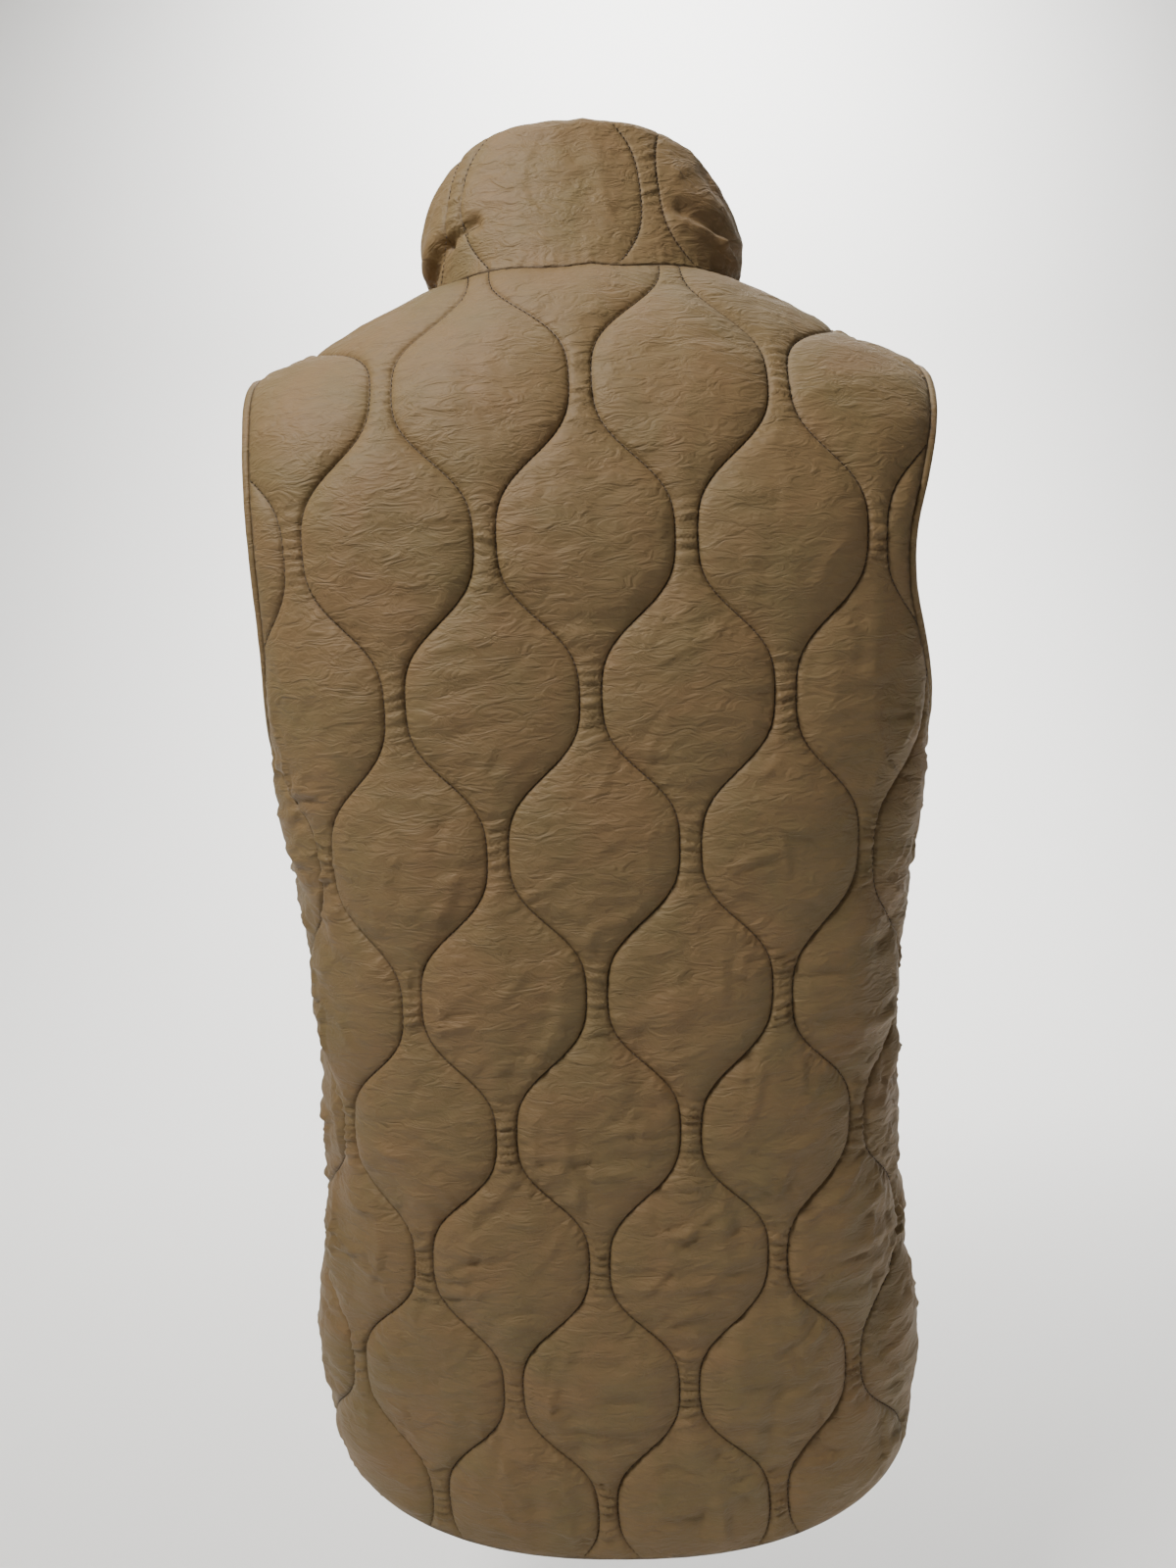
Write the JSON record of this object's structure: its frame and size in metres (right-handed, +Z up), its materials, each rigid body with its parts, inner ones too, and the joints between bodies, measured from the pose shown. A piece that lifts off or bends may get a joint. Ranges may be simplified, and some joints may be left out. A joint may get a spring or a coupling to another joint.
{
  "type": "quilted vest",
  "caption": "Sleeveless hip-length vest in onion-quilted padded cloth, with a stand collar, bound armholes and a full front zip, in the hollow shape it has when worn.",
  "frame": {"origin": "middle of the neck opening, at the height of the collar seam at centre back", "axes": "+Z up along the standing wearer, -Y out of the front, +X to the wearer's left"},
  "size_m": [0.391, 0.2656, 0.831],
  "materials": {
    "quilted_nylon": "crinkled nylon shell, brown with an olive cast, soft sheen",
    "zip_tape": "woven tape, matt",
    "zip_metal": "dark antique brass, satin"
  },
  "bodies": {
    "vest": {"back": "quilted_nylon", "front_left": "quilted_nylon", "front_right": "quilted_nylon", "collar": "quilted_nylon", "armhole_band_left": "quilted_nylon", "armhole_band_right": "quilted_nylon", "zip_tape_left": "zip_tape", "zip_tape_right": "zip_tape", "zip_chain": "zip_metal", "zip_box": "zip_metal", "zip_slider": "zip_metal"},
    "pull": {"zip_pull": "zip_metal"}
  },
  "joints": [
    {"name": "pull_swing", "type": "hinge", "parent": "vest", "child": "pull", "pos_m": [0.00144, -0.09123, 0.00785], "axis": [-1, 0, 0], "range_deg": [0, 150]}
  ]
}
